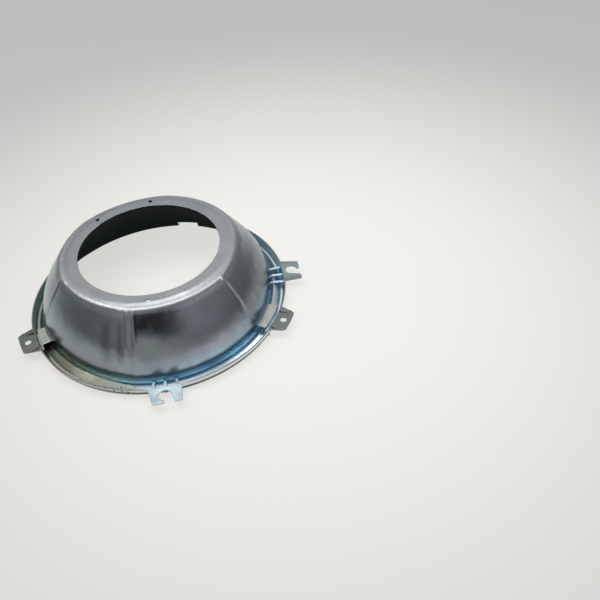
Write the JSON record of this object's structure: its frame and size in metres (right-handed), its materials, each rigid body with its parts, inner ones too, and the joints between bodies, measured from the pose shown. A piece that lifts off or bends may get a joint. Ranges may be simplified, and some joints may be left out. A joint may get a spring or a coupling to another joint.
{
  "type": "deep drawn metal cup",
  "caption": "Deep drawn sheet steel headlamp bucket with a panelled bowl, a round opening, a gutter rim, screw tabs and open aiming forks.",
  "frame": {"origin": "centre of the rim, on the surface that the bucket rests on mouth down", "axes": "+Z from the mouth up to the flat ring round the opening; azimuths run from +X towards +Y, the front fork at 278 degrees and the side fork at 9 degrees"},
  "size_m": [0.1983, 0.2058, 0.0487],
  "materials": {
    "plated_steel": "satin zinc plating, with water marks and rust at the lip"
  },
  "bodies": {
    "root": {"headlamp_bucket": "plated_steel"}
  },
  "joints": []
}
